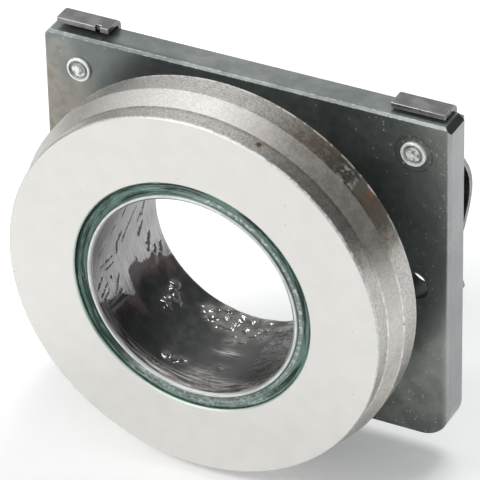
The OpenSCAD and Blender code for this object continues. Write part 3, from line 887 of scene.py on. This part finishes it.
# The rubbed grey also paints the two smudges, which are painted highlights.
tone = mixed(tree, times(tree, shown, 0.85), tone, rubbed_grey)
wiped_tone = mixed(tree, ranged(tree, wipes, 0.35, 0.65), wiped_dark, wiped_light)
tone = mixed(tree, thin, tone, wiped_tone)
tone = mixed(tree, drawn, tone, stroke_black)
metal = times(tree, rest(tree, drawn), most(tree, thin, times(tree, shown, 0.6)), 0.9)
bare = most(tree, thin, streaky, stained)
height = plus(tree, times(tree, drawn, 0.5), times(tree, wipes, most(tree, thin, rubbed), 0.6))
height = plus(tree, height, times(tree, lump, ridges), times(tree, brushed, brush, 5.0))
wire(tree, shader, Base_Color=tone, Metallic=metal, Specular_IOR_Level=0.5,
     Roughness=plus(tree, fade(tree, haze, 0.09, 0.14), times(tree, bare, 0.20)),
     Normal=relief(tree, height, depth=0.4, strength=0.6))
grease.data.materials.append(wet_black)
print("finish:", wet_black.name)

# %% [markdown]
# ## The floor
# A pale floor under the part takes its soft shadow. It glows a little where the camera or a mirror looks at
# it, so that it comes out white, with a bit more at the left for the camera and just before the part for
# mirrors. The glow lights nothing else.

# %% Floor
floor_size, floor_gap = 12, 0.0001
bpy.ops.mesh.primitive_plane_add(size=floor_size, location=(0, 0, cad_low.z - floor_gap))
floor = bpy.context.object
floor.name = "floor"
paper, tree, shader, (x, y, z) = new_finish("floor_paper")
wire(tree, shader, Base_Color=(0.92, 0.92, 0.92, 1), Roughness=0.9, Specular_IOR_Level=0.0)
path = place(tree, "ShaderNodeLightPath").outputs
eye, glossy, through = path["Is Camera Ray"], path["Is Glossy Ray"], path["Is Transmission Ray"]
seen = calc(tree, "ADD", plus(tree, eye, glossy), through, clamp=True)
near = times(tree, between(tree, y, -85.0, -45.0), between(tree, y, 0.0, -20.0, 0.0, 0.12))
left = between(tree, x, 30.0, -50.0, 0.0, 0.05)
strength = plus(tree, times(tree, eye, left), times(tree, glossy, near), times(tree, seen, 0.20))
glow = place(tree, "ShaderNodeEmission", {"Color": (1, 1, 1, 1), "Strength": strength})
both = place(tree, "ShaderNodeAddShader", {0: shader.outputs[0], 1: glow.outputs[0]})
tree.links.new(both.outputs[0], tree.nodes["Material Output"].inputs["Surface"])
floor.data.materials.append(paper)
floor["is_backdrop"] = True
print("floor at mm:", round(1000 * floor.location.z, 2))

# %% [markdown]
# ## The lamps
# One soft lamp hangs above and behind, and one stands front left. Mirrors don't see these two, since the
# metal has a studio of its own to reflect. A smaller lamp at the back lights the grease alone, and its
# mirror image gives the lumps their glints.

# %% Lamps
def soft_lamp(name, at, size, power, tint):
    """A square lamp that looks at the part."""
    bpy.ops.object.light_add(type="AREA", location=at)
    lamp = bpy.context.object
    lamp.name = name
    lamp.data.size = size
    lamp.data.energy = power
    lamp.data.color = tint
    lamp.rotation_euler = (-Vector(at)).to_track_quat("-Z", "Y").to_euler()
    print("lamp:", name, power, "W")
    return lamp


back_lamp = soft_lamp("back_lamp", at=(0.06, 0.42, 0.78), size=0.40, power=3.3, tint=(1.0, 0.99, 0.975))
back_lamp.visible_glossy = False
front_lamp = soft_lamp("front_lamp", at=(-0.50, -0.55, 0.62), size=0.40, power=5.2, tint=(1.0, 0.985, 0.96))
front_lamp.visible_glossy = False
wet_only = bpy.data.collections.new("wet_only")
wet_only.objects.link(grease)
back_spot = soft_lamp("back_spot", at=(0.18, 0.34, 0.71), size=0.28, power=8.0, tint=(1, 1, 1))
back_spot.light_linking.receiver_collection = wet_only

# %% [markdown]
# ## The world
# The world fills the shadows at a plain level, and the camera sees it white. Mirrors see a studio instead:
# bright overhead at the left, dimming to the right, where the ring's side turns dark, and a second bright
# wall before the part. A ramp over the sideways direction holds the studio's levels.

# %% World
studio_levels = [(-0.95, 0.40), (-0.62, 0.90), (-0.38, 1.0), (-0.11, 0.82), (0.18, 0.43), (0.45, 0.21),
                 (0.69, 0.17)]
left_end, right_end, studio_gain = 0.36, 0.14, 2.0
world = bpy.data.worlds.new("studio")
bpy.context.scene.world = world
world.use_nodes = True
tree = world.node_tree
plain = tree.nodes["Background"]
plain.inputs["Color"].default_value = (0.93, 0.97, 1.0, 1)
plain.inputs["Strength"].default_value = 0.42
path = place(tree, "ShaderNodeLightPath").outputs
mirror = calc(tree, "ADD", path["Is Glossy Ray"], path["Is Transmission Ray"], clamp=True)
direction = place(tree, "ShaderNodeTexCoord").outputs["Generated"]
x, y, z = place(tree, "ShaderNodeSeparateXYZ", {0: direction}).outputs
ramp = place(tree, "ShaderNodeValToRGB", {0: plus(tree, times(tree, x, 0.5), 0.5)})
ramp.color_ramp.interpolation = "B_SPLINE"
for sideways, level in studio_levels:
    ramp.color_ramp.elements.new((sideways + 1) / 2).color = (level, level, level, 1)
ramp.color_ramp.elements[0].color = (left_end, left_end, left_end, 1)
ramp.color_ramp.elements[-1].color = (right_end, right_end, right_end, 1)
overhead = times(tree, place(tree, "ShaderNodeSeparateColor", {0: ramp.outputs[0]}).outputs[0], studio_gain)
overhead = times(tree, overhead, ranged(tree, y, 0.10, 0.75, 1.0, 0.50), ranged(tree, z, 0.0, 0.5, 0.55, 1.0))
overhead = times(tree, overhead, ranged(tree, y, -0.6, -0.2, 0.60, 1.0))
before = times(tree, ranged(tree, y, -0.2, -0.6), ranged(tree, z, 0.1, 0.5, 0.0, 0.95))
studio = plus(tree, overhead, before)
reflected = place(tree, "ShaderNodeBackground", {"Color": (1, 1, 1, 1), "Strength": studio}).outputs[0]
white = place(tree, "ShaderNodeBackground", {"Color": (1, 1, 1, 1), "Strength": 1.0}).outputs[0]
not_camera = place(tree, "ShaderNodeMixShader", {0: mirror, 1: plain.outputs[0], 2: reflected}).outputs[0]
surface = place(tree, "ShaderNodeMixShader", {0: path["Is Camera Ray"], 1: not_camera, 2: white}).outputs[0]
tree.links.new(surface, tree.nodes["World Output"].inputs["Surface"])
bpy.context.scene.view_settings.view_transform = "Standard"
print("world ready")

# %% [markdown]
# ## Sizes and the end
# The visual model keeps to the CAD model's box. Its box is measured and printed.

# %% Measure the visual box
low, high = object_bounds()
print("visual box mm:", [round(1000 * c, 1) for c in high - low])
